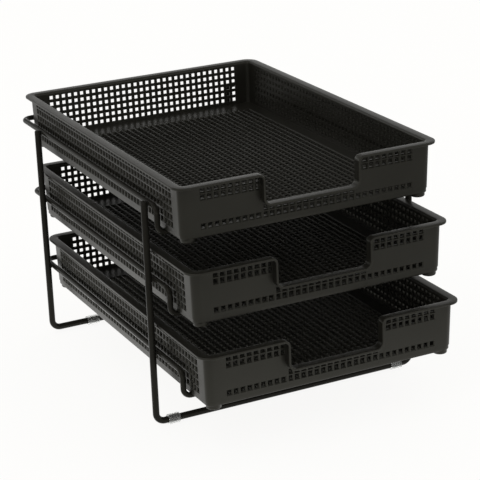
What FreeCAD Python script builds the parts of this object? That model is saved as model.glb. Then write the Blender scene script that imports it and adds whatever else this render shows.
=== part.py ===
import FreeCAD, Part
import math
import os
import types
import Sketcher
from FreeCAD import Vector

# Letter tray stand: a bent-wire rack that holds three moulded mesh trays.
# Origin at the middle of the footprint on the table, +Z up, the open fronts face -Y.
# Each tray is drawn about the middle of its own rim top and then set at its level.

doc = FreeCAD.newDocument("LetterTrayStand")

# Driving dimensions in millimetres, as (alias, value, meaning)
DIMENSIONS = [
    ("insideWidth", 235.4, "tray inside width at the rim"),
    ("insideLength", 344.0, "tray inside length at the rim"),
    ("wallThickness", 1.7, "tray wall"),
    ("draftSlope", 0.027, "how far a wall leans in for each millimetre down"),
    ("floorDepth", 42.6, "rim top to floor surface"),
    ("floorThickness", 2.0, "tray floor"),
    ("stepDrop", 0.7, "floor surface to the step round the outside"),
    ("stepInset", 0.4, "how far the foot of the wall steps in"),
    ("bottomDrop", 5.0, "floor surface to the bottom edge of the walls"),
    ("cornerRadius", 5.0, "outside corner of the walls"),
    ("bottomBevel", 0.7, "bevel of the bottom edge"),
    ("flangeReach", 6.6, "rim flange beyond the wall"),
    ("flangeThickness", 1.7, "rim flange"),
    ("lipDrop", 3.0, "rim top to lower edge of the turned-down lip"),
    ("lipThickness", 1.3, "turned-down lip"),
    ("cutoutWidth", 88.4, "front cut-out between its sides"),
    ("cutoutDepth", 26.9, "rim top to the sill of the cut-out"),
    ("cutoutRadius", 5.5, "corners of the cut-out"),
    ("footDiameter", 13.0, "moulded foot under each tray corner"),
    ("footInset", 0.4, "foot behind the outside of the walls"),
    ("footHeight", 3.4, "foot below the bottom edge"),
    ("footBevel", 0.9, "bevel under the foot"),
    ("meshPitch", 6.4, "mesh holes, centre to centre"),
    ("meshHole", 4.0, "mesh hole"),
    ("meshTop", 3.0, "rim top to the first row of holes"),
    ("meshFoot", 3.2, "least wall between the floor and the holes"),
    ("meshBorder", 16.3, "least wall between a corner and the holes"),
    ("ribHeight", 0.8, "floor ribs above the floor"),
    ("ribTop", 1.4, "width of a floor rib at its top"),
    ("ribShoulder", 0.2, "floor bar beside the foot of its rib"),
    ("ribMargin", 28.0, "front and back of the floor without ribs"),
    ("levelPitch", 68.0, "height from one tray to the next"),
    ("levelSetback", 18.1, "each lower tray lies this much further forward"),
    ("topTrayPlace", 12.5, "middle of the top tray behind the origin"),
    ("lowestEdge", 49.9, "table to the bottom edge of the lowest tray"),
    ("legWire", 6.0, "diameter of the leg wires"),
    ("hoopWire", 5.0, "diameter of the tray hoops"),
    ("legBend", 8.0, "centre-line bend of a leg"),
    ("hoopBend", 7.0, "centre-line bend of a hoop"),
    ("hoopCorner", 9.0, "centre-line bend at the back corners of a hoop"),
    ("uprightClearance", 0.7, "tray flange to upright"),
    ("seatClearance", 0.3, "tray bottom edge to the wires it rests on"),
    ("railDepth", 27.6, "rim top to centre of the side rails"),
    ("frontWirePlace", 134.0, "front cross wire ahead of the tray middle"),
    ("backWirePlace", 150.0, "back cross wire behind the tray middle"),
    ("backGap", 6.2, "tray flange to the stop wire behind it"),
    ("footClearance", 1.8, "tray foot to the hoop's drop beside it"),
    ("frontLegPlace", 108.1, "front leg ahead of the origin"),
    ("rearLegPlace", 145.0, "rear leg behind the origin"),
    ("sleeveDiameter", 9.0, "outside of a foot sleeve"),
    ("sleeveClearance", 0.1, "sleeve bore round the wire"),
    ("sleeveFlat", 0.2, "how far a sleeve is flattened where it stands"),
    ("frontSleeveLength", 10.5, "sleeve on the front leg"),
    ("rearSleeveLength", 12.0, "sleeve on the rear leg"),
    ("frontSleeveInset", 16.2, "front sleeve from its upright"),
    ("rearSleeveInset", 42.7, "rear sleeve from its upright"),
]

sheet = doc.addObject("Spreadsheet::Sheet", "Sizes")
for row, (alias, value, meaning) in enumerate(DIMENSIONS, start=1):
    sheet.set("A%d" % row, alias)
    sheet.set("B%d" % row, str(value))
    sheet.set("C%d" % row, meaning)
    sheet.setAlias("B%d" % row, alias)
doc.recompute()


# A length that knows both its expression on the sheet and its present value
class Length:
    def __init__(self, text, value):
        self.text = text
        self.value = value

    def joined(self, sign, other, value):
        return Length("(%s %s %s)" % (self.text, sign, other.text), value)

    def __add__(self, other):
        return self.joined("+", other, self.value + other.value)

    def __sub__(self, other):
        return self.joined("-", other, self.value - other.value)

    def __mul__(self, factor):
        return Length("(%s * %s)" % (self.text, factor), self.value * factor)

    def __truediv__(self, factor):
        return Length("(%s / %s)" % (self.text, factor), self.value / factor)

    def __neg__(self):
        return Length("(-%s)" % self.text, -self.value)

    def times(self, other):
        return self.joined("*", other, self.value * other.value)


dim = types.SimpleNamespace()
for alias, value, meaning in DIMENSIONS:
    setattr(dim, alias, Length("Sizes." + alias, float(sheet.get(alias))))
NOTHING = Length("0", 0.0)
HEADROOM = Length("1", 1.0)
LEVELS = 3
PANEL_ROWS = 2
FLOOR_BAYS = 3
UP = Vector(0, 0, 1)
QUARTER = math.pi / 2

# Sizes that follow from the driving ones
inside_x = dim.insideWidth / 2
inside_y = dim.insideLength / 2
outer_x = inside_x + dim.wallThickness
outer_y = inside_y + dim.wallThickness
flange_x = outer_x + dim.flangeReach
flange_y = outer_y + dim.flangeReach
flange_corner = dim.cornerRadius + dim.flangeReach
step_depth = dim.floorDepth + dim.stepDrop
bottom_depth = dim.floorDepth + dim.bottomDrop
bottom_lean = dim.draftSlope.times(bottom_depth)
bottom_x = outer_x - bottom_lean
bottom_y = outer_y - bottom_lean
foot_x = bottom_x - dim.footInset - dim.footDiameter / 2
foot_y = bottom_y - dim.footInset - dim.footDiameter / 2
inner_face_x = flange_x + dim.uprightClearance
rail_x = inner_face_x - dim.hoopWire / 2
upright_x = inner_face_x + dim.legWire / 2
seat_z = -(bottom_depth + dim.seatClearance + dim.hoopWire / 2)
stop_y = flange_y + dim.backGap + dim.hoopWire / 2
drop_x = foot_x - dim.footDiameter / 2 - dim.footClearance - dim.hoopWire / 2
bar_z = dim.sleeveDiameter / 2 - dim.sleeveFlat
mesh_bar = dim.meshPitch - dim.meshHole
rib_length = dim.insideLength - dim.ribMargin * 2
bay_length = (rib_length - mesh_bar * (FLOOR_BAYS + 1)) / FLOOR_BAYS


# How many holes at the mesh pitch fit a span
def holes_in(span):
    return int((span.value + mesh_bar.value) / dim.meshPitch.value)


end_columns = holes_in(dim.insideWidth - dim.meshBorder * 2)
side_columns = holes_in(dim.insideLength - dim.meshBorder * 2)
panel_columns = holes_in(dim.insideWidth / 2 - dim.meshBorder - dim.cutoutWidth / 2 - dim.flangeThickness)
rows = holes_in(dim.floorDepth - dim.meshTop - dim.meshFoot)
sill_rows = holes_in(dim.floorDepth - dim.cutoutDepth - dim.flangeThickness - dim.meshFoot)


def plane(body, role):
    return [item for item in body.Origin.OriginFeatures if item.Role == role][0]


def sketch_on(body, name, role, offset=NOTHING):
    sketch = body.newObject("Sketcher::SketchObject", name)
    sketch.AttachmentSupport = [(plane(body, role), "")]
    sketch.MapMode = "FlatFace"
    sketch.setExpression("AttachmentOffset.Base.z", offset.text)
    return sketch


# Adds a constraint whose value follows the sheet
def rule(sketch, kind, places, length):
    index = sketch.addConstraint(Sketcher.Constraint(kind, *places, length.value))
    sketch.setExpression("Constraints[%d]" % index, length.text)


# Adds a rounded rectangle about the sketch origin
def rounded_rectangle(sketch, half_x, half_y, corner):
    a, b, r = half_x.value, half_y.value, corner.value
    first = sketch.GeometryCount
    lines = [
        (Vector(-a + r, -b, 0), Vector(a - r, -b, 0)),
        (Vector(a, -b + r, 0), Vector(a, b - r, 0)),
        (Vector(a - r, b, 0), Vector(-a + r, b, 0)),
        (Vector(-a, b - r, 0), Vector(-a, -b + r, 0)),
    ]
    centres = [
        Vector(a - r, -b + r, 0),
        Vector(a - r, b - r, 0),
        Vector(-a + r, b - r, 0),
        Vector(-a + r, -b + r, 0),
    ]
    for line in lines:
        sketch.addGeometry(Part.LineSegment(*line), False)
    for index, centre in enumerate(centres):
        begin = (index - 1) * QUARTER
        sketch.addGeometry(Part.ArcOfCircle(Part.Circle(centre, UP, r), begin, begin + QUARTER), False)
    for index in range(4):
        arc = first + 4 + index
        following = first + (index + 1) % 4
        sketch.addConstraint(Sketcher.Constraint("Tangent", first + index, 2, arc, 1))
        sketch.addConstraint(Sketcher.Constraint("Tangent", arc, 2, following, 1))
        if index:
            sketch.addConstraint(Sketcher.Constraint("Equal", first + 4, arc))
    sketch.addConstraint(Sketcher.Constraint("Horizontal", first))
    sketch.addConstraint(Sketcher.Constraint("Vertical", first + 1))
    sketch.addConstraint(Sketcher.Constraint("Vertical", first + 3))
    rule(sketch, "DistanceX", (-1, 1, first + 1, 1), half_x)
    rule(sketch, "DistanceX", (first + 3, 1, -1, 1), half_x)
    rule(sketch, "DistanceY", (-1, 1, first + 2, 1), half_y)
    rule(sketch, "DistanceY", (first, 1, -1, 1), half_y)
    rule(sketch, "Radius", (first + 4,), corner)


# Closed outline of the front cut-out in the XZ plane, grown outwards by shift and closed at top
def cutout_outline(sketch, shift, top):
    half = dim.cutoutWidth.value / 2
    radius = dim.cutoutRadius.value
    sill = -dim.cutoutDepth.value
    shoulder = half + radius
    flat = half - radius
    side = half + shift
    corners = [
        (Vector(-shoulder, -radius, 0), radius - shift, 0),
        (Vector(-flat, sill + radius, 0), radius + shift, 2 * QUARTER),
        (Vector(flat, sill + radius, 0), radius + shift, 3 * QUARTER),
        (Vector(shoulder, -radius, 0), radius - shift, QUARTER),
    ]
    for centre, arc_radius, begin in corners:
        circle = Part.Circle(centre, UP, arc_radius)
        sketch.addGeometry(Part.ArcOfCircle(circle, begin, begin + QUARTER), False)
    points = [
        (Vector(-side, -radius, 0), Vector(-side, sill + radius, 0)),
        (Vector(-flat, sill - shift, 0), Vector(flat, sill - shift, 0)),
        (Vector(side, sill + radius, 0), Vector(side, -radius, 0)),
        (Vector(shoulder, -shift, 0), Vector(shoulder, top, 0)),
        (Vector(shoulder, top, 0), Vector(-shoulder, top, 0)),
        (Vector(-shoulder, top, 0), Vector(-shoulder, -shift, 0)),
    ]
    for begin, end in points:
        sketch.addGeometry(Part.LineSegment(begin, end), False)


def pad(body, name, sketch, length, backwards=False):
    feature = body.newObject("PartDesign::Pad", name)
    feature.Profile = sketch
    feature.setExpression("Length", length.text)
    feature.Reversed = backwards
    return feature


def pocket(body, name, sketch, length, backwards=False):
    feature = body.newObject("PartDesign::Pocket", name)
    feature.Profile = sketch
    feature.setExpression("Length", length.text)
    feature.Reversed = backwards
    return feature


# A drafted block between two heights below the rim: its half sizes are those at the rim
def drafted_block(body, kind, name, half_x, half_y, low, high):
    block = body.newObject("PartDesign::" + kind, name)
    block.AttachmentSupport = [(plane(body, "XZ_Plane"), "")]
    block.MapMode = "FlatFace"
    block.setExpression("Ymin", low.text)
    block.setExpression("Ymax", high.text)
    for axis, half in (("X", half_x), ("Z", half_y)):
        at_low = half + dim.draftSlope.times(low)
        at_high = half + dim.draftSlope.times(high)
        block.setExpression(axis + "min", (-at_low).text)
        block.setExpression(axis + "max", at_low.text)
        block.setExpression(axis + "2min", (-at_high).text)
        block.setExpression(axis + "2max", at_high.text)
    return block


# Names of a feature's edges whose bounding box passes a test
def edges_where(feature, test):
    return ["Edge%d" % number for number, edge in enumerate(feature.Shape.Edges, start=1) if test(edge.BoundBox)]


# Rounds or bevels the edges of the body's last feature that pass a test
def dress_edges(body, kind, name, test, size):
    doc.recompute()
    base = body.Tip
    feature = body.newObject("PartDesign::" + kind, name)
    feature.Base = (base, edges_where(base, test))
    feature.setExpression("Radius" if kind == "Fillet" else "Size", size.text)
    return feature


# Adds a closed outline of straight lines through the given places
def polygon(sketch, places):
    points = [Vector(x.value, y.value, 0) for x, y in places]
    first = sketch.GeometryCount
    for begin, end in zip(points, points[1:] + points[:1]):
        sketch.addGeometry(Part.LineSegment(begin, end), False)
    for index, (x, y) in enumerate(places):
        line = first + index
        sketch.addConstraint(Sketcher.Constraint("Coincident", line, 2, first + (index + 1) % len(places), 1))
        rule(sketch, "DistanceX", (-1, 1, line, 1), x)
        rule(sketch, "DistanceY", (-1, 1, line, 1), y)


# Repeats the body's last feature along one of its axes at the mesh pitch
def repeat(body, name, role, count):
    pattern = body.newObject("PartDesign::LinearPattern", name)
    pattern.Originals = [body.Tip]
    pattern.Direction = (plane(body, role), [""])
    pattern.Mode = "Spacing"
    pattern.setExpression("Offset", dim.meshPitch.text)
    pattern.Occurrences = count
    body.Tip = pattern
    return pattern


# Cuts the mesh of a wall: the holes of one column, tall rows high from a row down, repeated from a column on.
# The columns are centred on the wall, and only the bars between them are cut as they stand.
def cut_mesh(body, name, wall, first, count, top_row, tall):
    role, axis, columns, length = MESH_WALLS[wall]
    left = dim.meshPitch * (first - columns / 2) + mesh_bar / 2
    top = -(dim.meshTop + dim.meshPitch * top_row)
    bottom = top - dim.meshPitch * (tall - 1) - dim.meshHole
    right = left + dim.meshHole
    sketch = sketch_on(body, name + "Outline", role)
    polygon(sketch, [(left, bottom), (right, bottom), (right, top), (left, top)])
    hole = pocket(body, name, sketch, length, wall == "front")
    if wall == "sides":
        hole.SideType = "Symmetric"
    repeat(body, name + "Row", axis, count)


MESH_WALLS = {
    "front": ("XZ_Plane", "X_Axis", end_columns, outer_y + dim.wallThickness),
    "rear": ("XZ_Plane", "X_Axis", end_columns, outer_y + dim.wallThickness),
    "sides": ("YZ_Plane", "Y_Axis", side_columns, (outer_x + dim.wallThickness) * 2),
}


# Ribs that run front to back on the floor, with long slots between them
def make_floor(body, name):
    foot = mesh_bar / 2 - dim.ribShoulder
    top = -dim.floorDepth + dim.ribHeight
    middle = -(dim.meshPitch * (end_columns / 2))
    ridge = sketch_on(body, name + "RibOutline", "XZ_Plane")
    polygon(ridge, [(middle - foot, -dim.floorDepth), (middle + foot, -dim.floorDepth),
                    (middle + dim.ribTop / 2, top), (middle - dim.ribTop / 2, top)])
    rib = pad(body, name + "Rib", ridge, rib_length)
    rib.SideType = "Symmetric"
    repeat(body, name + "Ribs", "X_Axis", end_columns + 1)
    left = middle + mesh_bar / 2
    near_end = -(rib_length / 2) + mesh_bar
    slot = sketch_on(body, name + "SlotOutline", "XY_Plane", -dim.floorDepth)
    polygon(slot, [(left, near_end), (left + dim.meshHole, near_end),
                   (left + dim.meshHole, near_end + bay_length), (left, near_end + bay_length)])
    pocket(body, name + "Slot", slot, dim.floorThickness + HEADROOM)
    slots = repeat(body, name + "Slots", "X_Axis", end_columns)
    slots.Direction2 = (plane(body, "Y_Axis"), [""])
    slots.Mode2 = "Spacing"
    slots.setExpression("Offset2", (bay_length + mesh_bar).text)
    slots.Occurrences2 = FLOOR_BAYS


# One moulded tray, drawn about the middle of its rim top
def make_tray(name):
    body = doc.addObject("PartDesign::Body", name)
    near = 0.01
    bottom = -bottom_depth.value
    sole = bottom - dim.footHeight.value

    drafted_block(body, "AdditiveWedge", name + "Walls", outer_x, outer_y, -step_depth, NOTHING)
    dress_edges(body, "Fillet", name + "Corners", lambda box: box.ZLength > near, dim.cornerRadius)
    base = sketch_on(body, name + "BaseOutline", "XY_Plane", -bottom_depth)
    rounded_rectangle(base, bottom_x - dim.stepInset, bottom_y - dim.stepInset, dim.cornerRadius - dim.stepInset)
    pad(body, name + "Base", base, bottom_depth - step_depth)
    dress_edges(body, "Chamfer", name + "BottomEdge", lambda box: box.ZMax < bottom + near, dim.bottomBevel)

    drafted_block(body, "SubtractiveWedge", name + "Cavity", inside_x, inside_y, -dim.floorDepth, HEADROOM)
    dress_edges(body, "Fillet", name + "CavityCorners",
                lambda box: box.ZLength > near
                and abs(box.ZMin + dim.floorDepth.value) < near
                and abs(box.ZMax) < near,
                dim.cornerRadius - dim.wallThickness)

    flange = sketch_on(body, name + "FlangeOutline", "XY_Plane", -dim.flangeThickness)
    rounded_rectangle(flange, flange_x, flange_y, flange_corner)
    rounded_rectangle(flange, inside_x + dim.wallThickness / 2, inside_y + dim.wallThickness / 2,
                      dim.cornerRadius - dim.wallThickness / 2)
    pad(body, name + "Flange", flange, dim.flangeThickness)
    lip = sketch_on(body, name + "LipOutline", "XY_Plane", -dim.lipDrop)
    rounded_rectangle(lip, flange_x, flange_y, flange_corner)
    rounded_rectangle(lip, flange_x - dim.lipThickness, flange_y - dim.lipThickness,
                      flange_corner - dim.lipThickness)
    pad(body, name + "Lip", lip, dim.lipDrop - dim.flangeThickness)

    band = sketch_on(body, name + "CutoutBand", "XZ_Plane", flange_y)
    cutout_outline(band, dim.flangeThickness.value, 0.0)
    pad(body, name + "CutoutFlange", band, dim.flangeReach + dim.wallThickness, True)
    opening = sketch_on(body, name + "CutoutOpening", "XZ_Plane", flange_y + HEADROOM)
    cutout_outline(opening, 0.0, HEADROOM.value)
    pocket(body, name + "Cutout", opening, dim.flangeReach + dim.wallThickness * 4)

    recess = sketch_on(body, name + "RecessOutline", "XY_Plane", -bottom_depth)
    rounded_rectangle(recess, bottom_x - dim.stepInset - dim.wallThickness,
                      bottom_y - dim.stepInset - dim.wallThickness, dim.cornerRadius - dim.wallThickness)
    recess_height = bottom_depth - dim.floorDepth - dim.floorThickness
    pocket(body, name + "Recess", recess, recess_height, True)

    feet = sketch_on(body, name + "FeetOutline", "XY_Plane", -(bottom_depth + dim.footHeight))
    for side in (-1, 1):
        for end in (-1, 1):
            centre = Vector(side * foot_x.value, end * foot_y.value, 0)
            index = feet.addGeometry(Part.Circle(centre, UP, dim.footDiameter.value / 2), False)
            rule(feet, "DistanceX", (-1, 1, index, 3), foot_x * side)
            rule(feet, "DistanceY", (-1, 1, index, 3), foot_y * end)
            rule(feet, "Diameter", (index,), dim.footDiameter)
    pad(body, name + "Feet", feet, dim.footHeight + recess_height)
    dress_edges(body, "Chamfer", name + "FootEdges", lambda box: box.ZMax < sole + near, dim.footBevel)

    make_floor(body, name + "Floor")
    cut_mesh(body, name + "SideMesh", "sides", 0, side_columns, 0, rows)
    cut_mesh(body, name + "RearMesh", "rear", 0, end_columns, 0, rows)
    last = rows - 1
    middle_columns = end_columns - panel_columns * 2
    cut_mesh(body, name + "FrontFoot", "front", 0, end_columns, last, 1)
    cut_mesh(body, name + "FrontSill", "front", panel_columns, middle_columns, rows - sill_rows, sill_rows - 1)
    for hand, first in (("Left", 0), ("Right", end_columns - panel_columns)):
        cut_mesh(body, name + hand + "Panel", "front", first, panel_columns, 0, PANEL_ROWS)
    return body


# A tray from the finished moulding: a body whose only feature is the moulding's shape
def copy_tray(name, moulding):
    body = doc.addObject("PartDesign::Body", name)
    copy = doc.addObject("PartDesign::FeatureBase", name + "Moulding")
    copy.BaseFeature = moulding
    body.Group = [copy]
    body.Tip = copy
    return body


# Path through the given corners: straight runs joined by tangent arcs
def bent_path(name, corners, bends):
    edges = []
    start = corners[0]
    for before, corner, after, bend in zip(corners, corners[1:], corners[2:], bends):
        inward = (before - corner).normalize()
        outward = (after - corner).normalize()
        half_turn = (math.pi - inward.getAngle(outward)) / 2
        reach = bend * math.tan(half_turn)
        first = corner + inward * reach
        last = corner + outward * reach
        middle = corner + (inward + outward).normalize() * (bend / math.cos(half_turn) - bend)
        edges.append(Part.makeLine(start, first))
        edges.append(Part.Arc(first, middle, last).toShape())
        start = last
    edges.append(Part.makeLine(start, corners[-1]))
    path = doc.addObject("Part::Feature", name + "Path")
    path.Shape = Part.Wire(edges)
    return path


# A bent wire, symmetrical about the YZ plane: one half is swept from the middle and mirrored
def make_wire(name, corners, bends, diameter):
    places = [Vector(x.value, y.value, z.value) for x, y, z in corners]
    path = bent_path(name, places, [bend.value for bend in bends])
    body = doc.addObject("PartDesign::Body", name)
    section = sketch_on(body, name + "Section", "YZ_Plane")
    centre = Vector(places[0].y, places[0].z, 0)
    section.addGeometry(Part.Circle(centre, UP, diameter.value / 2), False)
    rule(section, "DistanceX", (-1, 1, 0, 3), corners[0][1])
    rule(section, "DistanceY", (-1, 1, 0, 3), corners[0][2])
    rule(section, "Diameter", (0,), diameter)
    half = body.newObject("PartDesign::AdditivePipe", name + "Half")
    half.Profile = section
    half.Spine = (path, ["Edge%d" % number for number in range(1, len(path.Shape.Edges) + 1)])
    mirrored = body.newObject("PartDesign::Mirrored", name + "Mirrored")
    mirrored.Originals = [half]
    mirrored.MirrorPlane = (plane(body, "YZ_Plane"), [""])
    body.Tip = mirrored
    return body


# Clear tube round the floor bar, slightly flattened where it stands on the table
def make_sleeve(name, place_x, place_y, length):
    body = doc.addObject("PartDesign::Body", name)
    ring = sketch_on(body, name + "Ring", "YZ_Plane", -length / 2)
    outer = dim.sleeveDiameter.value / 2
    flat = outer - dim.sleeveFlat.value
    turn = math.acos(flat / outer)
    reach = outer * math.sin(turn)
    circle = Part.Circle(Vector(0, 0, 0), UP, outer)
    ring.addGeometry(Part.ArcOfCircle(circle, turn - QUARTER, 3 * QUARTER - turn), False)
    ring.addGeometry(Part.LineSegment(Vector(-reach, -flat, 0), Vector(reach, -flat, 0)), False)
    bore = dim.legWire / 2 + dim.sleeveClearance
    ring.addGeometry(Part.Circle(Vector(0, 0, 0), UP, bore.value), False)
    rule(ring, "Radius", (2,), bore)
    pad(body, name + "Tube", ring, length)
    place(body, place_x, place_y, bar_z)
    return body


def place(body, x, y, z):
    for axis, length in (("x", x), ("y", y), ("z", z)):
        body.setExpression("Placement.Base." + axis, length.text)


# Rim top of a level, counted down from the top tray
def rim_height(level):
    return dim.lowestEdge + bottom_depth + dim.levelPitch * (LEVELS - 1 - level)


hoop_corners = [
    (NOTHING, -dim.frontWirePlace, seat_z),
    (rail_x, -dim.frontWirePlace, seat_z),
    (rail_x, -dim.frontWirePlace, -dim.railDepth),
    (rail_x, stop_y, -dim.railDepth),
    (drop_x, stop_y, -dim.railDepth),
    (drop_x, stop_y, seat_z),
    (drop_x, dim.backWirePlace, seat_z),
    (NOTHING, dim.backWirePlace, seat_z),
]
hoop_bends = [dim.hoopBend, dim.hoopBend, dim.hoopCorner, dim.hoopBend, dim.hoopBend, dim.hoopBend]

pieces = []
moulding = make_tray("moulding")
for level, level_name in enumerate(("top", "middle", "bottom")):
    level_y = dim.topTrayPlace - dim.levelSetback * level
    tray = copy_tray(level_name + "_tray", moulding)
    hoop = make_wire(level_name + "_hoop", hoop_corners, hoop_bends, dim.hoopWire)
    for piece in (tray, hoop):
        place(piece, NOTHING, level_y, rim_height(level))
        pieces.append(piece)

leg_top = rim_height(0) - dim.railDepth + dim.hoopWire / 2
ends = [
    ("front", -dim.frontLegPlace, dim.frontSleeveInset, dim.frontSleeveLength),
    ("rear", dim.rearLegPlace, dim.rearSleeveInset, dim.rearSleeveLength),
]
for end, leg_y, sleeve_inset, sleeve_length in ends:
    leg_corners = [(NOTHING, leg_y, bar_z), (upright_x, leg_y, bar_z), (upright_x, leg_y, leg_top)]
    pieces.append(make_wire(end + "_leg_wire", leg_corners, [dim.legBend], dim.legWire))
    for hand, side in (("left", -1), ("right", 1)):
        name = "%s_%s_foot_sleeve" % (end, hand)
        pieces.append(make_sleeve(name, (upright_x - sleeve_inset) * side, leg_y, sleeve_length))

doc.recompute()
for item in doc.Objects:
    if "Invalid" in item.State or "Error" in item.State:
        raise RuntimeError("%s did not build: %s" % (item.Name, item.State))
for piece in pieces:
    if piece.Shape.isNull() or not piece.Shape.isValid():
        raise RuntimeError("%s has no valid shape" % piece.Label)

os.makedirs("parts", exist_ok=True)
for piece in pieces:
    piece.Shape.exportStep("parts/%s.step" % piece.Label)
    box = piece.Shape.BoundBox
    print("%-26s %d solid  %9.1f mm3  z %6.1f to %6.1f" % (
        piece.Label, len(piece.Shape.Solids), piece.Shape.Volume, box.ZMin, box.ZMax))
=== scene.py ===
# Letter tray stand: three mesh trays that slide on a welded wire rack. All sizes are in metres.
import math
import bmesh
import bpy
import numpy as np
from mathutils import Matrix, Vector


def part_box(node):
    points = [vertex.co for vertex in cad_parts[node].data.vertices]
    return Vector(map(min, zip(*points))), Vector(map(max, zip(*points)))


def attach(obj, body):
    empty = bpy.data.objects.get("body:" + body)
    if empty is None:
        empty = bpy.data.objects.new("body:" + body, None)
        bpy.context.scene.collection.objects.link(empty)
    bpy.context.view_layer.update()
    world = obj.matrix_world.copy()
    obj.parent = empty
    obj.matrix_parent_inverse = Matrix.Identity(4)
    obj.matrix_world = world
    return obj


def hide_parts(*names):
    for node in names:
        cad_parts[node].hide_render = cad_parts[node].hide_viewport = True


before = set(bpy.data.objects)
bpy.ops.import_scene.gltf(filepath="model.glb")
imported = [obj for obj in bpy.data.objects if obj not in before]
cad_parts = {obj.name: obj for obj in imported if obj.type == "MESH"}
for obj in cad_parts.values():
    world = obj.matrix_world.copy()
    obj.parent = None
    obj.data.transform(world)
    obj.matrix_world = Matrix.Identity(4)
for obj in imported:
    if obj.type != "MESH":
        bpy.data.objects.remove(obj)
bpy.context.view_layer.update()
print("frame loaded:", len(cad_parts), "nodes")

levels = ("top", "middle", "bottom")
down = np.array((0.0, 0.0, -1.0))
front = np.array((0.0, -1.0, 0.0))
right = np.array((1.0, 0.0, 0.0))

# Shared mesh work

meshValues = {
    "weld": 1e-6,             # points closer than this become one
    "sharpAngle": 35.0,       # degrees from which an edge is drawn sharp
    "decimals": 7,            # grid lines that are the same to this many decimals are one line
}


# Four-cornered faces between neighbouring points of a grid of point numbers
def gridFaces(index):
    return np.stack((index[:-1, :-1], index[1:, :-1], index[1:, 1:], index[:-1, 1:]), axis=-1).reshape(-1, 4)


# One closed surface from rings of points: ring after ring, each joined to the next all the way round.
# Open ends are closed on a pole in the middle of the last ring.
def ringSurface(rings, loop=False):
    if not loop:
        poles = np.broadcast_to(rings[[0, -1]].mean(axis=1, keepdims=True), rings[[0, -1]].shape)
        rings = np.concatenate((poles[:1], rings, poles[1:]))
    index = np.arange(rings.shape[0] * rings.shape[1]).reshape(rings.shape[:2])
    index = np.concatenate((index, index[:, :1]), axis=1)
    if loop:
        index = np.concatenate((index, index[:1]))
    return np.concatenate(rings), gridFaces(index)


# Several surfaces as one: the face numbers of each are moved past the points before it
def joinSurfaces(surfaces):
    starts = np.cumsum([0] + [len(points) for points, faces in surfaces[:-1]])
    points = np.concatenate([points for points, faces in surfaces])
    faces = np.concatenate([faces + start for (_, faces), start in zip(surfaces, starts)])
    return points, faces


# A mesh from points and faces: unused points go, doubles are welded and every face then looks outwards
def makeMesh(name, surface):
    points, faces = surface
    used, faces = np.unique(faces, return_inverse=True)
    points, faces = points[used], faces.reshape(-1, 4)
    mesh = bpy.data.meshes.new(name)
    mesh.from_pydata(points.tolist(), [], faces.tolist())
    work = bmesh.new()
    work.from_mesh(mesh)
    bmesh.ops.remove_doubles(work, verts=work.verts, dist=meshValues["weld"])
    bmesh.ops.recalc_face_normals(work, faces=work.faces)
    work.to_mesh(mesh)
    work.free()
    mesh.shade_smooth()
    mesh.set_sharp_from_angle(angle=math.radians(meshValues["sharpAngle"]))
    return mesh


# An object in the scene that rides on a body of the frame
def makePiece(name, mesh, material, body, replaced=()):
    piece = bpy.data.objects.new(name, mesh)
    bpy.context.scene.collection.objects.link(piece)
    mesh.materials.clear()
    mesh.materials.append(material)
    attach(piece, body)
    if replaced:
        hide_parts(*replaced)


# Corners of a closed outline, each rounded by its own radius with a few points on the arc
def roundedOutline(corners, radii, steps):
    corners = np.array(corners, float)
    before = np.roll(corners, 1, axis=0) - corners
    after = np.roll(corners, -1, axis=0) - corners
    before /= np.linalg.norm(before, axis=1, keepdims=True)
    after /= np.linalg.norm(after, axis=1, keepdims=True)
    half = np.arccos(np.clip((before * after).sum(axis=1), -1, 1)) / 2
    middle = before + after
    middle /= np.linalg.norm(middle, axis=1, keepdims=True)
    radii = np.array(radii, float)
    centres = corners + middle * (radii / np.sin(half))[:, None]
    side = after - before
    side /= np.linalg.norm(side, axis=1, keepdims=True)
    turn = np.linspace(-1, 1, steps)[None, :] * (math.pi / 2 - half)[:, None]
    arcs = -np.cos(turn)[..., None] * middle[:, None] + np.sin(turn)[..., None] * side[:, None]
    return (centres[:, None] + radii[:, None, None] * arcs).reshape(-1, 2)


# Finishes

# A socket that can be used in sums: an expression on it adds its Math nodes
class Signal:
    def __init__(self, tree, socket=None):
        self.tree = tree
        self.socket = socket

    # Adds any node: its settings go in first, then the values or links of its sockets
    def node(self, kind, settings=None, sockets=None, output=0):
        made = self.tree.nodes.new(kind)
        for key, value in (settings or {}).items():
            setattr(made, key, value)
        for key, value in (sockets or {}).items():
            if isinstance(value, Signal):
                self.tree.links.new(value.socket, made.inputs[key])
            else:
                made.inputs[key].default_value = value
        return Signal(self.tree, made.outputs[output] if made.outputs else None)

    def maths(self, operation, first, second):
        return self.node("ShaderNodeMath", {"operation": operation}, {0: first, 1: second})

    def __add__(self, other):
        return self.maths("ADD", self, other)

    def __sub__(self, other):
        return self.maths("SUBTRACT", self, other)

    def __rsub__(self, other):
        return self.maths("SUBTRACT", other, self)

    def __mul__(self, other):
        return self.maths("MULTIPLY", self, other)

    __radd__ = __add__
    __rmul__ = __mul__

    # Mixes two colours: on a colour Mix node these are sockets 6 and 7, and output 2
    def blend(self, factor, first, second):
        return self.node("ShaderNodeMix", {"data_type": "RGBA"}, {0: factor, 6: first, 7: second}, 2)

    # Vector Math on vectors: the result is a vector, or with the output "Value" a number
    def vectorMaths(self, operation, *vectors, output=0):
        return self.node("ShaderNodeVectorMath", {"operation": operation}, dict(enumerate(vectors)), output)


# An empty material and the signal that starts its nodes
def startMaterial(name):
    material = bpy.data.materials.new(name)
    material.use_nodes = True
    material.node_tree.nodes.clear()
    return material, Signal(material.node_tree)


# A noise between 0 and 1 whose lumps are about the given size across
def noise(start, place, size, detail=2.0):
    return start.node("ShaderNodeTexNoise", {}, {"Vector": place, "Scale": 1 / size, "Detail": detail})


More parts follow.
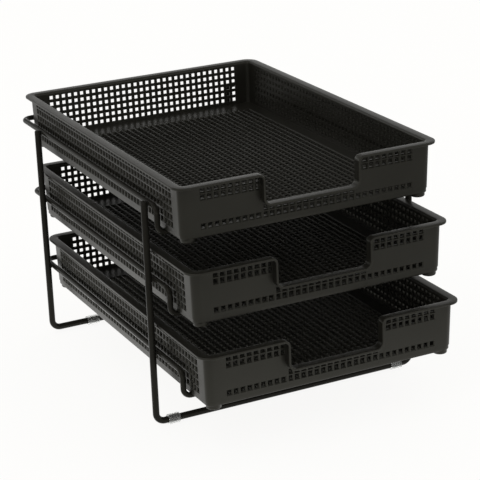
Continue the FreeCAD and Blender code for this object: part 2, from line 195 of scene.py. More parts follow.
plasticValues = {
    "light": (0.0125, 0.0118, 0.0094, 1),   # where the moulding is a little worn and dusty
    "dark": (0.0070, 0.0066, 0.0051, 1),
    "shineTint": (1.0, 0.985, 0.86, 1),     # warm cast of the sheen
    "patch": 0.045,          # size of the uneven patches
    "patchDetail": 3.0,
    "grain": 0.0009,         # size of the moulded grain
    "grainDepth": 0.000035,
    "grainStrength": 1.0,
    "roughness": 0.33,
    "patchSpread": 0.14,     # how far the patches and the grain move the roughness
    "grainSpread": 0.08,
    "ior": 1.45,
}


# Black moulded plastic: a satin grain over broad, barely uneven patches
def trayPlastic():
    v = plasticValues
    material, start = startMaterial("trayPlastic")
    place = start.node("ShaderNodeTexCoord", output="Object")
    patches = noise(start, place, v["patch"], v["patchDetail"])
    grain = noise(start, place, v["grain"])
    roughness = v["roughness"] + (patches - 0.5) * v["patchSpread"] + (grain - 0.5) * v["grainSpread"]
    bump = start.node("ShaderNodeBump", {}, {
        "Height": grain, "Distance": v["grainDepth"], "Strength": v["grainStrength"]})
    shader = start.node("ShaderNodeBsdfPrincipled", {}, {
        "Base Color": start.blend(patches, v["dark"], v["light"]), "Roughness": roughness, "Normal": bump,
        "IOR": v["ior"], "Specular Tint": v["shineTint"]})
    start.node("ShaderNodeOutputMaterial", {}, {"Surface": shader})
    return material


wireValues = {
    "light": (0.0150, 0.0142, 0.0118, 1),
    "dark": (0.0085, 0.0081, 0.0066, 1),
    "shineTint": (1.0, 0.985, 0.86, 1),
    "patch": 0.02,
    "peel": 0.0022,          # size of the ripples in the coating
    "peelDetail": 1.0,
    "peelDepth": 0.00004,
    "peelStrength": 0.8,
    "roughness": 0.14,
    "patchSpread": 0.06,
    "ior": 1.20,
}


# Baked black coating on steel wire: glossier than the trays, with a slight orange peel
def blackWire():
    v = wireValues
    material, start = startMaterial("blackWire")
    place = start.node("ShaderNodeTexCoord", output="Object")
    patches = noise(start, place, v["patch"])
    peel = noise(start, place, v["peel"], v["peelDetail"])
    roughness = v["roughness"] + (patches - 0.5) * v["patchSpread"]
    bump = start.node("ShaderNodeBump", {}, {
        "Height": peel, "Distance": v["peelDepth"], "Strength": v["peelStrength"]})
    shader = start.node("ShaderNodeBsdfPrincipled", {}, {
        "Base Color": start.blend(patches, v["dark"], v["light"]), "Roughness": roughness, "Normal": bump,
        "IOR": v["ior"], "Specular Tint": v["shineTint"]})
    start.node("ShaderNodeOutputMaterial", {}, {"Surface": shader})
    return material


sleeveFinish = {
    "clear": (0.86, 0.87, 0.86, 1),
    "clouded": (0.70, 0.71, 0.69, 1),
    "cloud": 0.003,          # size of the clouded places
    "roughness": 0.12,
    "cloudSpread": 0.12,
    "transmission": 0.92,
    "ior": 1.45,
}


# Clear soft vinyl, faintly clouded
def clearSleeve():
    v = sleeveFinish
    material, start = startMaterial("clearSleeve")
    place = start.node("ShaderNodeTexCoord", output="Object")
    cloud = noise(start, place, v["cloud"])
    shader = start.node("ShaderNodeBsdfPrincipled", {}, {
        "Base Color": start.blend(cloud, v["clouded"], v["clear"]),
        "Roughness": v["roughness"] + cloud * v["cloudSpread"],
        "Transmission Weight": v["transmission"], "IOR": v["ior"]})
    start.node("ShaderNodeOutputMaterial", {}, {"Surface": shader})
    return material


plastic = trayPlastic()
wireBlack = blackWire()
sleeveClear = clearSleeve()
print("finishes made")

# Trays, drawn about the middle of the rim top, then set at each level

tray = {
    "wall": 0.0024,
    "sideSpread": 0.0013,     # the outside of the side walls stands this much further out
    "draft": 0.027,           # lean of the walls for each metre down
    "cornerRadius": 0.0036,   # inside corner
    "cornerSteps": 8,
    "floor": 0.0426,          # rim top to floor
    "floorThickness": 0.0036,
    "step": 0.0433,           # rim top to the step round the outside
    "stepInset": 0.0004,
    "bottom": 0.0476,         # rim top to bottom edge
    "bottomRadius": 0.0010,
    "reach": 0.0066,          # flange beyond the wall
    "flange": 0.0017,
    "lip": 0.0021,
    "lipThickness": 0.0013,
    "rimRound": 0.0019,       # inner top edge of the rim
    "rimEdge": 0.0006,        # outer top edge
    "lipRound": 0.0004,
    "slightRound": 0.0001,    # every other edge of the rim
    "edgeSteps": 6,
    "rimFoot": 0.0029,        # how far the rim reaches down into the wall
    "rimProud": 0.00003,      # it stands this much inside the wall, and is buried in the wall outside
    "rimBuried": 0.0003,
    "wallTop": 0.0021,        # rim top to the top of the walls, hidden in the rim
    "cutHalfWidth": 0.0444,   # front cut-out
    "cutDepth": 0.0269,
    "cutRadius": 0.0055,
    # depths and half widths of the steps cut in the front wall, hidden in the rim's band
    "cutSteps": ((0.0030, 0.0466), (0.0245, 0.0453), (0.0268, 0.0436), (0.02775, 0.0403)),
    "pitch": 0.0064,          # square mesh, centre to centre
    "hole": 0.00355,
    "chamfer": 0.0001,        # softened edge of each hole
    "outerChamfer": 0.0010,   # the same on the outside of the walls
    "rows": 6,
    "firstRow": 0.00585,      # rim top to the middle of the first row of holes
    "endColumns": 32,
    "sideColumns": 49,
    "panelColumns": 9,        # columns on each side of the cut-out
    "panelPlain": (2, 4),     # first and last row left plain there
    "sillRow": 4,             # first row of holes under the cut-out
    "floorHole": 0.0042,
    "floorColumns": 32,
    "floorRows": 48,
    "floorRear": 0.143,       # rear end of the floor mesh behind the tray middle
    "floorDrop": 0.0011,      # the mesh lies this much below the plain border of the floor
    "shoulder": 0.0006,       # width of the slope between them
    "ribHeight": 0.0009,      # above the border
    "ribHalf": 0.0008,        # half width of a floor rib
    "ribSink": 0.0001,        # a rib's foot lies this deep in its bar
    "ribEnd": 0.45,           # share of the height at the ends of a rib
    "ribSteps": 7,
    "footRadius": 0.0065,
    "footInset": 0.0004,
    "footHeight": 0.0034,
    "footRounding": 0.0012,
    "soleShare": 0.3,         # inner ring of the sole, as a share of the radius
    "footAround": 48,
}

low, high = (np.array(corner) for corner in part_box("top_tray"))
insideHalf = (high[:2] - low[:2]) / 2 - tray["reach"] - tray["wall"]   # half width and half length at the rim
floorHalf = insideHalf - tray["draft"] * tray["floor"]
baseHalf = insideHalf + tray["wall"] - tray["draft"] * tray["bottom"]

rimMiddles = {}               # the middle of each tray's rim top
for level in levels:
    low, high = (np.array(corner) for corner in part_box(level + "_tray"))
    rimMiddles[level] = np.array(((low[0] + high[0]) / 2, (low[1] + high[1]) / 2, high[2]))


# Middles of a row of holes, centred on the wall
def holeMiddles(count):
    return (np.arange(count) - (count - 1) / 2) * tray["pitch"]


# Both edges of each hole of a row
def holeEdges(middles, hole=tray["hole"]):
    return (middles[:, None] + np.array((-0.5, 0.5)) * hole).ravel()


# A sheet with square openings. Its two faces are given on the lines of a grid, with the ways that the lines
# run; cells of the grid are solid or open. Where solid meets open the sheet gets an edge through its
# thickness, chamfered at both faces: a face point moves away from the opening, an edge point into the sheet.
# The chamfer of the outer face has its own size, one for the whole sheet or one for each line.
def perforatedSheet(inner, outer, alongU, alongV, solid, loop=False, outerChamfer=tray["chamfer"]):
    chamfer = tray["chamfer"]
    if loop:
        cells = np.concatenate((solid[-1:], solid))
    else:
        cells = np.pad(solid, ((1, 1), (0, 0)))
    cells = np.pad(cells, ((0, 0), (1, 1)))
    void = 1 - cells.astype(int)
    pushU = np.sign(void[:-1, :-1] + void[:-1, 1:] - void[1:, :-1] - void[1:, 1:])[..., None]
    pushV = np.sign(void[:-1, :-1] + void[1:, :-1] - void[:-1, 1:] - void[1:, 1:])[..., None]
    push = pushU * alongU + pushV * alongV
    through = outer - inner
    through /= np.linalg.norm(through, axis=-1, keepdims=True)
    layers = np.stack((inner + chamfer * push, inner + chamfer * through,
                       outer - outerChamfer * through, outer + outerChamfer * push))
    index = np.arange(layers[..., 0].size).reshape(layers.shape[:3])
    if loop:
        index = np.concatenate((index, index[:, :1]), axis=1)
    cellFaces = [gridFaces(layer).reshape(solid.shape + (4,)) for layer in (index[0], index[3])]
    faces = [cellFaces[0][solid][:, ::-1], cellFaces[1][solid]]
    before, after = cells[:-1, 1:-1], cells[1:, 1:-1]
    below, above = cells[1:, :-1], cells[1:, 1:]
    if not loop:
        below, above = below[:-1], above[:-1]
    lines = index.shape[1] - (1 if loop else 0)
    for a, b in zip(index, index[1:]):
        sideU = np.stack((a[:lines, :-1], a[:lines, 1:], b[:lines, 1:], b[:lines, :-1]), axis=-1)
        faces.append(sideU[before & ~after])
        faces.append(sideU[after & ~before][:, ::-1])
        sideV = np.stack((a[:-1], b[:-1], b[1:], a[1:]), axis=-1)
        faces.append(sideV[below & ~above])
        faces.append(sideV[above & ~below][:, ::-1])
    return layers.reshape(-1, 3), np.concatenate(faces)


# Rows of points round the inside of the rim, side after side and a corner after each. A row has its place,
# the ways in which the wall leans, faces and runs there, its side (-1 in a corner) and its distance along it.
def wallPath(lines):
    radius = tray["cornerRadius"]
    turns = np.linspace(0, math.pi / 2, tray["cornerSteps"] + 1)[1:-1, None]
    rows = []
    for side, travel in enumerate(np.array(((1, 0), (0, 1), (-1, 0), (0, -1)), float)):
        outward = np.array((travel[1], -travel[0]))
        half = np.abs(travel) @ insideHalf - radius
        distance = np.abs(outward) @ insideHalf
        along = np.concatenate(((-half,), lines[side], (half,)))[:, None]
        none = np.zeros_like(along)
        ends = np.zeros_like(along)
        ends[0], ends[-1] = -1, 1
        rows.append((outward * distance + travel * along, -outward - travel * ends, none + outward,
                     none + travel, np.full(len(along), side), along[:, 0]))
        radial = np.cos(turns) * outward + np.sin(turns) * travel
        rows.append((outward * (distance - radius) + travel * half + radius * radial,
                     np.zeros_like(radial) - outward - travel, radial,
                     np.cos(turns) * travel - np.sin(turns) * outward,
                     np.full(len(radial), -1), np.zeros(len(radial))))
    return [np.concatenate(parts) for parts in zip(*rows)]


# The walls from the bottom edge up: the depth of each line, the depth that its lean is reckoned with, and the
# offsets of the inside and the outside. The lowest lines are the rounded edge and the drawn-in band.
def wallProfile(rowDepths, stepDepths):
    t = tray
    turn = np.radians((90, 60, 30, 0))
    edgeDepths = t["bottom"] - t["bottomRadius"] * (1 - np.sin(turn))
    upper = np.round(np.concatenate((holeEdges(rowDepths), stepDepths)), meshValues["decimals"])
    upper = np.unique(upper)[::-1]
    depth = np.concatenate((edgeDepths, (t["step"], t["step"]), upper, (t["wallTop"],)))
    band = len(edgeDepths) + 1
    leanDepth = depth.copy()
    leanDepth[:band] = t["bottom"]
    inside = np.zeros(len(depth))
    inside[:band] -= t["stepInset"]
    outside = np.full(len(depth), t["wall"])
    outside[:band] -= t["stepInset"]
    outside[:len(turn)] -= t["bottomRadius"] * (1 - np.cos(turn))
    return depth, leanDepth, inside, outside


# Which cells of the walls are solid: all but the holes of the mesh and the cut-out, whose stepped edge
# the rim's band hides
def wallCells(side, distance, depth, rowDepths, stepDepths, stepWidths):
    t = tray
    cellDepth = (depth[:-1] + depth[1:]) / 2
    cellAlong = (distance + np.roll(distance, -1)) / 2
    onWall = (side >= 0) & (side == np.roll(side, -1))
    inRow = np.abs(cellDepth[:, None] - rowDepths) < t["hole"] / 2
    row = np.where(inRow.any(axis=1), inRow.argmax(axis=1), -1)
    counts = np.where(side % 2 == 0, t["endColumns"], t["sideColumns"])
    position = cellAlong / t["pitch"] + (counts - 1) / 2
    column = np.round(position)
    inColumn = onWall & (np.abs(position - column) < t["hole"] / t["pitch"] / 2)
    inColumn &= (column >= 0) & (column < counts)
    panel = (column < t["panelColumns"]) | (column >= t["endColumns"] - t["panelColumns"])
    firstPlain, lastPlain = t["panelPlain"]
    plain = np.where(panel[:, None], (row >= firstPlain) & (row <= lastPlain), row < t["sillRow"])
    frontWall = (onWall & (side == 0))[:, None]
    holes = inColumn[:, None] & (row >= 0) & ~(frontWall & plain)
    cutWidth = np.append(stepWidths, 0)[np.searchsorted(stepDepths, cellDepth)]
    cut = frontWall & (np.abs(cellAlong)[:, None] < cutWidth)
    return ~holes & ~cut


# The four walls as one sheet that goes round the tray. A point is
# rim place + leaning way * draft * depth + outward way * offset, with depth and offset from the profile.
def wallSheet():
    t = tray
    stepDepths, stepWidths = np.array(t["cutSteps"]).T
    endLines, sideLines = (holeEdges(holeMiddles(t[count])) for count in ("endColumns", "sideColumns"))
    frontLines = np.concatenate((endLines, stepWidths, -stepWidths))
    frontLines = np.unique(np.round(frontLines, meshValues["decimals"]))
    place, lean, outward, travel, side, distance = wallPath((frontLines, sideLines, endLines, sideLines))
    rowDepths = t["firstRow"] + t["pitch"] * np.arange(t["rows"])
    depth, leanDepth, inside, outside = wallProfile(rowDepths, stepDepths)
    solid = wallCells(side, distance, depth, rowDepths, stepDepths, stepWidths)

    # Spread pushes the side walls out, and the corners by their share of the way
    def surface(offset, spread):
        flat = place[:, None] + lean[:, None] * (t["draft"] * leanDepth)[:, None]
        flat = flat + outward[:, None] * offset[:, None] + outward[:, None] * (spread, 0)
        return np.concatenate((flat, np.broadcast_to(-depth[:, None], flat.shape[:2] + (1,))), axis=-1)

    along = np.pad(travel, ((0, 0), (0, 1)))[:, None]
    meshed = (depth > t["rimFoot"]) & (depth < t["step"])
    chamfers = np.where(meshed, t["outerChamfer"], t["chamfer"])[:, None]
    return perforatedSheet(surface(inside, 0), surface(outside, t["sideSpread"]), along, -down, solid,
                           loop=True, outerChamfer=chamfers)


# Section of the rim as reach and depth: the flange with its turned-down lip, and the band on the wall
def rimSection():
    t = tray
    full = t["wall"] + t["reach"]
    inLip = full - t["lipThickness"]
    inWall = t["wall"] - t["rimBuried"]
    corners = ((-t["rimProud"], 0), (full, 0), (full, t["lip"]), (inLip, t["lip"]), (inLip, t["flange"]),
               (inWall, t["flange"]), (inWall, t["rimFoot"]), (-t["rimProud"], t["rimFoot"]))
    radii = (t["rimRound"], t["rimEdge"], t["lipRound"]) + (t["slightRound"],) * 5
    return roundedOutline(corners, radii, t["edgeSteps"])


# The rim's way round the tray from the front right corner on, then down, across and up the cut-out: arcs that
# straight runs join. On an arc, place = centre + radius * (cos turn * one way + sin turn * the next way).
def rimPath():
    t = tray
    radius, cutRadius = t["cornerRadius"], t["cutRadius"]
    turns = np.linspace(0, math.pi / 2, t["cornerSteps"] + 1)[:, None]
    arcs = []
    for travel in np.array(((1, 0, 0), (0, 1, 0), (-1, 0, 0), (0, -1, 0)), float):
        outward = np.cross(travel, -down)
        half = np.abs(travel[:2]) @ insideHalf - radius
        distance = np.abs(outward[:2]) @ insideHalf
        radial = np.cos(turns) * outward + np.sin(turns) * travel
        place = outward * (distance - radius) + travel * half + radius * radial
        arcs.append((place, radial, np.zeros_like(radial) + down))
    rimFront = front * insideHalf[1]
    for sign in (-1, 1):
        turnUp = np.cos(turns) * -down - np.sin(turns) * right * sign      # over the shoulder
        turnIn = np.cos(turns) * right * sign + np.sin(turns) * down       # into the sill
        over = (rimFront + sign * right * (t["cutHalfWidth"] + cutRadius)
                + down * cutRadius + cutRadius * turnUp)
        into = (rimFront + sign * right * (t["cutHalfWidth"] - cutRadius)
                + down * (t["cutDepth"] - cutRadius) + cutRadius * turnIn)
        facing = np.zeros_like(over) + front
        bends = [(over, facing, -turnUp), (into, facing, turnIn)]
        arcs += bends if sign < 0 else [[part[::-1] for part in bend] for bend in bends[::-1]]
    return [np.concatenate(parts) for parts in zip(*arcs)]


# Rim, one section carried along the rim's way. A point is
# path place + outward way * reach + inward-to-the-material way * depth.
def rimSurface():
    place, outward, inward = rimPath()
    reach, depth = rimSection().T
    lean = -place[:, 2:] * tray["draft"]
    reaches = reach + (reach / (tray["wall"] + tray["reach"]) - 1) * lean
    rings = place[:, None] + outward[:, None] * reaches[..., None] + inward[:, None] * depth[:, None]
    return ringSurface(rings, loop=True)


# Middles of the rows of floor holes, counted from the rear end of the mesh
def floorMiddles():
    return tray["floorRear"] - tray["pitch"] * (np.arange(tray["floorRows"])[::-1] + 0.5)


# Floor with its square mesh, drawn in at the rounded corners of the walls: a plain border, then a slope one
# shoulder wide down to the mesh, whose depth = floor + drop
def floorSheet():
    t = tray
    edge = floorHalf + t["wall"] / 2
    shoulder, bar = t["shoulder"], t["pitch"] / 2
    lines, holes, inField = [], [], []
    for end, middles in zip(edge, (holeMiddles(t["floorColumns"]), floorMiddles())):
        first, last = middles[0] - bar, middles[-1] + bar
        line = np.concatenate(((-end, first - shoulder, first), holeEdges(middles, t["floorHole"]),
                               (last, last + shoulder, end)))
        cells = (line[:-1] + line[1:]) / 2
        lines.append(line)
        holes.append(np.abs(cells[:, None] - middles).min(axis=1) < t["floorHole"] / 2)
        inField.append((line > first - meshValues["weld"]) & (line < last + meshValues["weld"]))
    flat = np.stack(np.meshgrid(*lines, indexing="ij"), axis=-1)
    centre = floorHalf - t["cornerRadius"]
    beyond = np.maximum(np.abs(flat) - centre, 0)
    length = np.linalg.norm(beyond, axis=-1, keepdims=True)
    corner = (beyond > 0).all(axis=-1, keepdims=True)
    fit = np.where(corner, (t["cornerRadius"] + t["wall"] / 2) / np.maximum(length, meshValues["weld"]), 1)
    flat = np.sign(flat) * (np.minimum(np.abs(flat), centre) + beyond * fit)
    level = -t["floor"] - t["floorDrop"] * (inField[0][:, None] & inField[1])
    underside = np.full_like(level, -t["floor"] - t["floorThickness"])
    top, under = (np.concatenate((flat, z[..., None]), axis=-1) for z in (level, underside))
    solid = ~(holes[0][:, None] & holes[1])
    return perforatedSheet(under, top, right, -front, solid)


# Ribs on the floor bars that run front to back: half an ellipse carried along each bar and let down at its
# ends, across = half width * cos of the angle, rise = height * sin of the angle
def ribSurfaces():
    t = tray
    bars = holeMiddles(t["floorColumns"] + 1)
    middles = floorMiddles()
    first, last = middles[0] - t["pitch"] / 2, middles[-1] + t["pitch"] / 2
    height = t["ribHeight"] + t["floorDrop"]
    angle = np.linspace(math.pi, 0, t["ribSteps"])
    across, rise = t["ribHalf"] * np.cos(angle), height * np.sin(angle) - t["ribSink"]
    along = np.array((first - height / 2, first + height / 2, last - height / 2, last + height / 2))
    share = np.array((t["ribEnd"], 1, 1, t["ribEnd"]))
    rings = np.empty((len(bars), len(along), len(across), 3))
    rings[..., 0] = bars[:, None, None] + across
    rings[..., 1] = along[:, None]
    rings[..., 2] = -t["floor"] - t["floorDrop"] + rise * share[:, None]
    return joinSurfaces([ringSurface(bar) for bar in rings])


# Round foot under each corner: rings about its own axis, with a rounded edge to the sole
def footSurfaces():
    t = tray
    radius, rounding = t["footRadius"], t["footRounding"]
    sole = t["bottom"] + t["footHeight"]
    turn = np.radians(np.linspace(0, 90, t["edgeSteps"]))
    reach = np.concatenate(((radius, radius), radius - rounding * (1 - np.cos(turn)),
                            (radius * t["soleShare"],)))
    depth = np.concatenate(((t["floor"] + t["floorThickness"] / 2, sole - rounding),
                            sole - rounding * (1 - np.sin(turn)), (sole,)))
    around = np.linspace(0, 2 * math.pi, t["footAround"], endpoint=False)
    middle = baseHalf - t["footInset"] - radius
    feet = []
    for x, y in np.array(((-1, -1), (1, -1), (1, 1), (-1, 1))) * middle:
        rings = np.empty((len(reach), len(around), 3))
        rings[..., 0] = x + reach[:, None] * np.cos(around)
        rings[..., 1] = y + reach[:, None] * np.sin(around)
        rings[..., 2] = -depth[:, None]
        feet.append(ringSurface(rings))
    return joinSurfaces(feet)


# One tray level: the same moulding, moved to the level's own rim
def makeTray(level, parts):
    body = level + "_tray"
    for part, (points, faces) in parts.items():
        replaced = (body,) if part == "walls" else ()
        mesh = makeMesh("%s_tray_%s" % (level, part), (points + rimMiddles[level], faces))
        makePiece(mesh.name, mesh, plastic, body, replaced)


trayParts = {
    "walls": wallSheet(),
    "rim": rimSurface(),
    "floor": floorSheet(),
    "ribs": ribSurfaces(),
    "feet": footSurfaces(),
}
for level in levels:
    makeTray(level, trayParts)
print("trays made:", {part: len(faces) for part, (points, faces) in trayParts.items()})

# Rack of bent and welded wire

rack = {
    "hoopWire": 0.0050,
    "legWire": 0.0060,
    "legBend": 0.0080,
    "hoopBend": 0.0070,
    "hoopCorner": 0.0090,     # where a rail turns in behind the tray
    "railDepth": 0.0276,      # rim top to the side rails
    "seat": 0.0003,           # tray bottom edge to the wires under it
    "frontWire": 0.1340,      # front cross wire ahead of the tray middle
    "backWire": 0.1500,
    "footClearance": 0.0018,  # between a rear foot and the drop beside it
    "around": 24,
    "bendSteps": 12,
    "endRounding": 0.0008,
    "endSteps": 4,
    "steadyWay": (0.53, 0.61, 0.59),        # slanting, so that it never lies along a wire
    "beadSize": (0.0010, 0.0023, 0.0023),   # half sizes of a weld between rail and upright
    "beadTilt": 80,           # degrees up to which the weld's rings reach
    "beadRings": 9,
    "beadAround": 16,
}


# Path of a bent wire as places and directions: straight runs joined by arcs. On an arc of a bend,
# place = centre + bend radius * (cos turn * out of the bend + sin turn * along the first run)
def bentPath(corners, bends):
    corners = np.array(corners, float)
    places, ways = [corners[:1]], []
    runs = np.diff(corners, axis=0)
    runs /= np.linalg.norm(runs, axis=1, keepdims=True)
    ways.append(runs[:1])
    turns = np.linspace(0, 1, rack["bendSteps"] + 1)[:, None]
    for corner, before, after, bend in zip(corners[1:-1], runs, runs[1:], bends):
        angle = math.acos(np.clip(before @ after, -1, 1))
        reach = bend * math.tan(angle / 2)
        inside = after - before * (before @ after)
        inside /= np.linalg.norm(inside)
        centre = corner - before * reach + inside * bend
        places.append(centre - bend * np.cos(turns * angle) * inside + bend * np.sin(turns * angle) * before)
        ways.append(np.cos(turns * angle) * before + np.sin(turns * angle) * inside)
    places.append(corners[-1:])
    ways.append(runs[-1:])
    return np.concatenate(places), np.concatenate(ways)


# Tube of round section along a path: place + radius * (cos of the angle * side + sin of the angle * other),
# two ways square to the path that a fixed slanting way keeps steady. Both ends are rounded at their edge.
def tubeSurface(places, ways, radius, rounding):
    steps, count = rack["endSteps"], len(places)
    side = np.cross(ways, np.array(rack["steadyWay"]))
    side /= np.linalg.norm(side, axis=1, keepdims=True)
    other = np.cross(side, ways)
    turn = np.radians(np.linspace(90, 0, steps + 1))[:-1]
    shrink = radius - rounding * (1 - np.cos(turn))
    back = rounding * (1 - np.sin(turn))
    order = np.concatenate((np.zeros(steps, int), np.arange(count), np.full(steps, count - 1)))
    radii = np.concatenate((shrink, np.full(count, radius), shrink[::-1]))
    shift = np.concatenate((back, np.zeros(count), -back[::-1]))
    shift[steps] = rounding
    shift[-steps - 1] = -rounding
    around = np.linspace(0, 2 * math.pi, rack["around"], endpoint=False)
    circle = np.cos(around)[:, None] * side[:, None] + np.sin(around)[:, None] * other[:, None]
    middle = places[order] + ways[order] * shift[:, None]
    return ringSurface(middle[:, None] + circle[order] * radii[:, None, None])


# Weld between two crossing wires: a flattened round, cos and sin of two angles times its half sizes
def beadSurface(place):
    tilt = np.radians(np.linspace(-rack["beadTilt"], rack["beadTilt"], rack["beadRings"]))[:, None]
    around = np.linspace(0, 2 * math.pi, rack["beadAround"], endpoint=False)
    circle = np.stack((0 * around, np.cos(around), np.sin(around)), axis=-1)
    rings = np.cos(tilt)[..., None] * circle + np.sin(tilt)[..., None] * right
    return ringSurface(place + rings * np.array(rack["beadSize"]))


# Both halves of a path from its right half, left end first
def mirrored(corners):
    return [(-x, y, z) for x, y, z in corners[::-1]] + list(corners)


hoopRadius = rack["hoopWire"] / 2
hoopHigh = np.array(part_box("top_hoop")[1])
railX = hoopHigh[0] - hoopRadius
stopY = hoopHigh[1] - hoopRadius - rimMiddles["top"][1]
dropX = (baseHalf[0] - tray["footInset"] - 2 * tray["footRadius"]) - rack["footClearance"] - hoopRadius
seatDepth = tray["bottom"] + rack["seat"] + hoopRadius


# One hoop, all round from the middle of its rear cross wire
def makeHoop(level):
    _, middleY, rimZ = rimMiddles[level]
    half = [(railX, -rack["frontWire"], -seatDepth), (railX, -rack["frontWire"], -rack["railDepth"]),
            (railX, stopY, -rack["railDepth"]), (dropX, stopY, -rack["railDepth"]),
            (dropX, stopY, -seatDepth), (dropX, rack["backWire"], -seatDepth)]
    half = [(x, y + middleY, z + rimZ) for x, y, z in half]
    start = [(0.0, half[-1][1], half[-1][2])]
    bend, corner = rack["hoopBend"], rack["hoopCorner"]
    halfBends = [bend, bend, corner, bend, bend, bend]
    places, ways = bentPath(start + mirrored(half) + start, halfBends[::-1] + halfBends)
    mesh = makeMesh(level + "_hoop_wire", tubeSurface(places, ways, hoopRadius, 0.0))
    makePiece(mesh.name, mesh, wireBlack, "rack", (level + "_hoop",))


# One pair of legs with its floor bar. Gives the places where it touches the rails.
def makeLegs(end):
    low, high = (np.array(corner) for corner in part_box(end + "_leg_wire"))
    y = (low[1] + high[1]) / 2
    uprightX = high[0] - rack["legWire"] / 2
    barZ = low[2] + rack["legWire"] / 2
    corners = mirrored([(uprightX, y, barZ), (uprightX, y, high[2])])
    places, ways = bentPath(corners, [rack["legBend"]] * 2)
    mesh = makeMesh(end + "_legs", tubeSurface(places, ways, rack["legWire"] / 2, rack["endRounding"]))
    makePiece(mesh.name, mesh, wireBlack, "rack", (end + "_leg_wire",))
    touchX = railX + hoopRadius
    heights = [rimMiddles[level][2] - rack["railDepth"] for level in levels]
    return [(side * touchX, y, height) for height in heights for side in (-1, 1)]


for level in levels:
    makeHoop(level)
contacts = makeLegs("front") + makeLegs("rear")
mesh = makeMesh("welds", joinSurfaces([beadSurface(np.array(place)) for place in contacts]))
makePiece("welds", mesh, wireBlack, "rack")
print("rack made")

# Clear sleeves on the floor bars

for name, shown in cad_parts.items():
    if name.endswith("_foot_sleeve"):
        shown.data.materials.clear()
        shown.data.materials.append(sleeveClear)
print("sleeves finished")

# Floor, light and camera

stageValues = {
    "floorSize": 8.0,
    "floorColour": (0.86, 0.86, 0.85, 1),
    "skyColour": (1.0, 0.996, 0.985, 1),
    "white": 0.92,           # share of the floor that is plain white to the eye: the rest takes the shadow
    "skyLight": 1.00,        # how much the sky lights the matt surfaces
    "horizon": 0.85,         # in reflections: the backdrop above the zenith's level
    "zenith": 0.16,
    "horizonHeight": 0.26,
    "paintedGlowFar": 0.20,        # painted glow of the floor, seen only in reflections: far away, near the stand and behind its two sides
    "paintedGlowNear": 0.85,
    "paintedGlowBeside": 0.50,
    "nearRadius": 0.38,
    "besideWay": (0.6, 0.8, 0.0),
    "besidePower": 4.0,      # how narrow the painted glow on the floor behind the sides is
    "fadePower": 4.0,        # how sharply the levels fall off
    "middleSize": 0.01,      # keeps the ways on the floor finite in the middle
}


# Falls smoothly from 1 to a half at the given width: 1 / (1 + (value / width) to the fade power)
def fade(start, value, width):
    power = start.maths("POWER", value * (1 / width), stageValues["fadePower"])
    return start.maths("DIVIDE", 1.0, power + 1.0)


# White for what looks straight at it or through glass, the given level in reflections, else the given light
def seenLevel(start, reflected, light):
    camera, glossy, through = (start.node("ShaderNodeLightPath", output=name)
                               for name in ("Is Camera Ray", "Is Glossy Ray", "Is Transmission Ray"))
    straight = start.maths("MINIMUM", camera + through, 1.0)
    return straight + (1 - straight) * (glossy * reflected + (1 - glossy) * light)


# Painted glow of the floor, shown only in reflections: its far level, a painted pool of light near the stand,
# and more on the ways that lead away behind its two sides. Those ways are told by the share of (|x|, y) that
# runs along the given way.
def paintedFloorGlow(start):
    v = stageValues
    place = start.node("ShaderNodeTexCoord", output="Object")
    distance = start.vectorMaths("LENGTH", place, output="Value")
    unsigned = start.vectorMaths("ABSOLUTE", place)
    acrossOnly = start.vectorMaths("MULTIPLY", unsigned, (1.0, 0.0, 0.0))
    folded = start.vectorMaths("MULTIPLY_ADD", place, (0.0, 1.0, 0.0), acrossOnly)
    beside = start.vectorMaths("DOT_PRODUCT", folded, v["besideWay"], output="Value")
    beside = start.maths("MAXIMUM", start.maths("DIVIDE", beside, distance + v["middleSize"]), 0.0)
    reflected = v["paintedGlowFar"] + fade(start, distance, v["nearRadius"]) * v["paintedGlowNear"]
    return reflected + start.maths("POWER", beside, v["besidePower"]) * v["paintedGlowBeside"]


# The pale floor: white to the eye, with a matt share that takes the shadow, and a painted glow that only
# reflections see
def makeFloor():
    v = stageValues
    size = v["floorSize"] / 2
    mesh = bpy.data.meshes.new("paleFloor")
    corners = [(-size, -size, 0), (size, -size, 0), (size, size, 0), (-size, size, 0)]
    mesh.from_pydata(corners, [], [(0, 1, 2, 3)])
    floor = bpy.data.objects.new("paleFloor", mesh)
    bpy.context.scene.collection.objects.link(floor)
    material, start = startMaterial("paleFloor")
    matt = start.node("ShaderNodeBsdfDiffuse", {}, {"Color": v["floorColour"]})
    # Emission: plain white to the eye, and in reflections the painted glow, with a painted pool of light near
    # the stand
    white = start.node("ShaderNodeEmission", {}, {
        "Color": v["skyColour"], "Strength": seenLevel(start, paintedFloorGlow(start), 0.0)})
    seen = seenLevel(start, 1.0, 0.0)
    shader = start.node("ShaderNodeMixShader", {}, {0: seen * v["white"], 1: matt, 2: white})
    start.node("ShaderNodeOutputMaterial", {}, {"Surface": shader})
    mesh.materials.append(material)


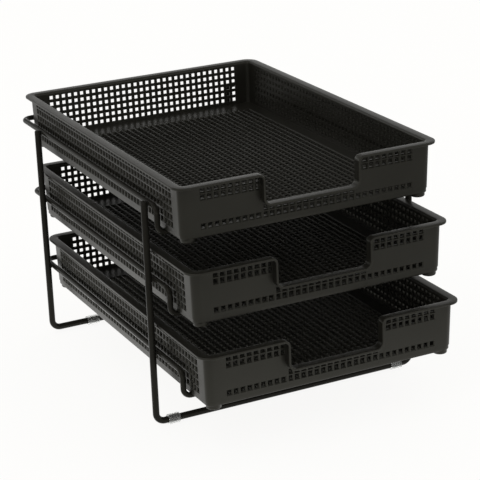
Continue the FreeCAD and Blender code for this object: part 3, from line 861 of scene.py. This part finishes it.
# The pale room: white to the eye, darker overhead in reflections
def makeRoom():
    v = stageValues
    world = bpy.data.worlds.new("paleRoom")
    bpy.context.scene.world = world
    world.use_nodes = True
    world.node_tree.nodes.clear()
    start = Signal(world.node_tree)
    way = start.node("ShaderNodeTexCoord", output="Generated")
    height = start.node("ShaderNodeSeparateXYZ", {}, {0: way}, "Z")
    backdrop = v["zenith"] + fade(start, height, v["horizonHeight"]) * v["horizon"]
    sky = start.node("ShaderNodeBackground", {}, {
        "Color": v["skyColour"], "Strength": seenLevel(start, backdrop, v["skyLight"])})
    start.node("ShaderNodeOutputWorld", {}, {"Surface": sky})


lampValues = {
    "key": {"place": (-1.3, -0.6, 1.9), "size": 1.6, "power": 6.0},
    "fill": {"place": (1.6, -1.2, 1.4), "size": 1.8, "power": 3.0},
    "back": {"place": (0.2, 1.4, 2.2), "size": 2.0, "power": 2.5},
}
lampTarget = (0, 0, 0.12)


# Turns an object so that its -Z looks at a place
def lookAt(thing, target):
    thing.rotation_euler = (Vector(target) - thing.location).to_track_quat("-Z", "Y").to_euler()


def makeLamps():
    for name, v in lampValues.items():
        light = bpy.data.lights.new(name, "AREA")
        light.shape = "DISK"
        light.size = v["size"]
        light.energy = v["power"]
        lamp = bpy.data.objects.new(name, light)
        bpy.context.scene.collection.objects.link(lamp)
        lamp.location = v["place"]
        lookAt(lamp, lampTarget)


cameraValues = {
    "place": (-0.6860, -1.4406, 0.6852),
    "turn": 0.4501,          # to the right of straight back, in radians
    "dip": 0.3428,           # below the horizon
    "roll": -0.0400,
    "lens": 135.65,
    "sensor": 36,
    "shift": 0.0015,
}


def makeCamera():
    v = cameraValues
    lens = bpy.data.cameras.new("photographView")
    lens.lens = v["lens"]
    lens.sensor_width = v["sensor"]
    lens.shift_x = v["shift"]
    camera = bpy.data.objects.new("photographView", lens)
    bpy.context.scene.collection.objects.link(camera)
    turn, dip, roll = v["turn"], v["dip"], v["roll"]
    ahead = np.array((math.sin(turn) * math.cos(dip), math.cos(turn) * math.cos(dip), -math.sin(dip)))
    level = np.array((math.cos(turn), -math.sin(turn), 0))
    above = np.cross(level, ahead)
    sideways = level * math.cos(roll) + above * math.sin(roll)
    upward = above * math.cos(roll) - level * math.sin(roll)
    camera.location = v["place"]
    camera.rotation_euler = Matrix(np.stack((sideways, upward, -ahead), axis=1).tolist()).to_euler()
    bpy.context.scene.camera = camera


makeFloor()
makeRoom()
makeLamps()
makeCamera()
bpy.context.scene.view_settings.view_transform = "Standard"
print("stage, lamps and camera set")
